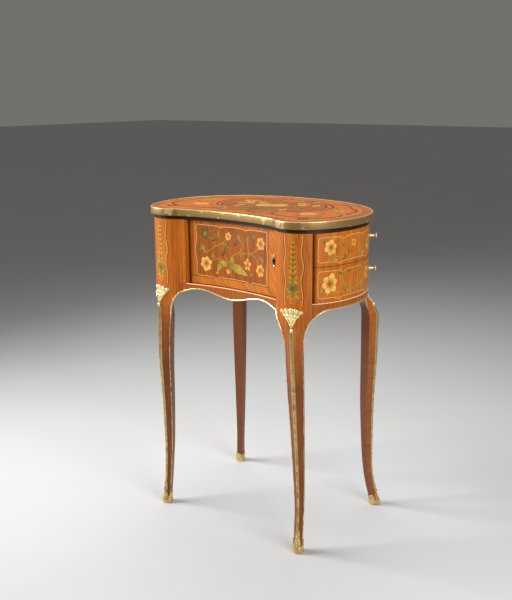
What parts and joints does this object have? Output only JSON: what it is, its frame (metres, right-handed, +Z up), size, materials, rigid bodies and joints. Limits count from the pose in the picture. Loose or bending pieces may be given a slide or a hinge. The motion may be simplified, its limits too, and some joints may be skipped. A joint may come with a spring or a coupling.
{
  "type": "kidney table",
  "caption": "Kidney-shaped marquetry side table on slender cabriole legs, with a curved pivoted front door, swivel drawers at its right end, a brass rim and gilt mounts.",
  "frame": {"origin": "on the floor, under the middle of the top's width and depth", "axes": "+Z up, -Y to the hollow front with the door, +X to the end with the drawers"},
  "size_m": [0.51, 0.3356, 0.707],
  "materials": {
    "veneer": "polished tulipwood veneer with floral marquetry",
    "oak": "plain oak, unpolished",
    "gilt": "gilt, burnished with matt hollows",
    "aged_brass": "aged brass with a bright top edge",
    "steel": "dull filed steel"
  },
  "bodies": {
    "case": {"top_rim": "aged_brass", "top_panel": "veneer", "case_top": "oak", "top_screw_front": "steel", "top_screw_left": "steel", "top_screw_right": "steel", "case_bottom": "oak", "case_left": "veneer", "case_back": "veneer", "hinge_stile": "veneer", "partition": "oak", "dust_board": "oak", "apron_front": "veneer", "apron_back": "veneer", "apron_left": "veneer", "apron_right": "veneer", "fillet_front": "gilt", "fillet_back": "gilt", "fillet_left": "gilt", "fillet_right": "gilt", "leg_front_left": "veneer", "leg_front_right": "veneer", "leg_back_left": "veneer", "leg_back_right": "veneer", "sabot_front_left": "gilt", "sabot_front_right": "gilt", "sabot_back_left": "gilt", "sabot_back_right": "gilt", "chute_front_left": "gilt", "chute_front_right": "gilt", "chute_back_left": "gilt", "chute_back_right": "gilt", "arris_strip_front_left": "gilt", "arris_strip_front_right": "gilt", "arris_strip_back_left": "gilt", "arris_strip_back_right": "gilt", "strike_plate": "gilt", "drawer_pivot_rod": "gilt"},
    "door": {"door_panel": "veneer", "door_pivot_lower": "gilt", "door_pivot_upper": "gilt", "escutcheon": "gilt", "lock_case": "steel", "lock_screw_lower": "steel", "lock_screw_upper": "steel"},
    "lock_bolt": {"lock_bolt": "gilt"},
    "drawer_lower": {"drawer_lower_front": "veneer", "drawer_lower_inner_side": "oak", "drawer_lower_near_side": "oak", "drawer_lower_far_side": "oak", "drawer_lower_bottom": "oak", "drawer_lower_knob": "gilt"},
    "drawer_upper": {"drawer_upper_front": "veneer", "drawer_upper_inner_side": "oak", "drawer_upper_near_side": "oak", "drawer_upper_far_side": "oak", "drawer_upper_bottom": "oak", "drawer_upper_knob": "gilt"}
  },
  "joints": [
    {"name": "door_hinge", "type": "hinge", "parent": "case", "child": "door", "pos_m": [-0.10878, -0.12422, 0.61305], "axis": [0, 0, -1], "range_deg": [0, 90]},
    {"name": "lock_bolt_slide", "type": "slide", "parent": "door", "child": "lock_bolt", "axis": [0.9807, -0.1953, 0], "range_m": [0, 0.011]},
    {"name": "drawer_lower_swivel", "type": "hinge", "parent": "case", "child": "drawer_lower", "pos_m": [0.21549, -0.12151, 0.5788], "axis": [0, 0, -1], "range_deg": [0, 80]},
    {"name": "drawer_upper_swivel", "type": "hinge", "parent": "case", "child": "drawer_upper", "pos_m": [0.21549, -0.12151, 0.6493], "axis": [0, 0, -1], "range_deg": [0, 80]}
  ]
}
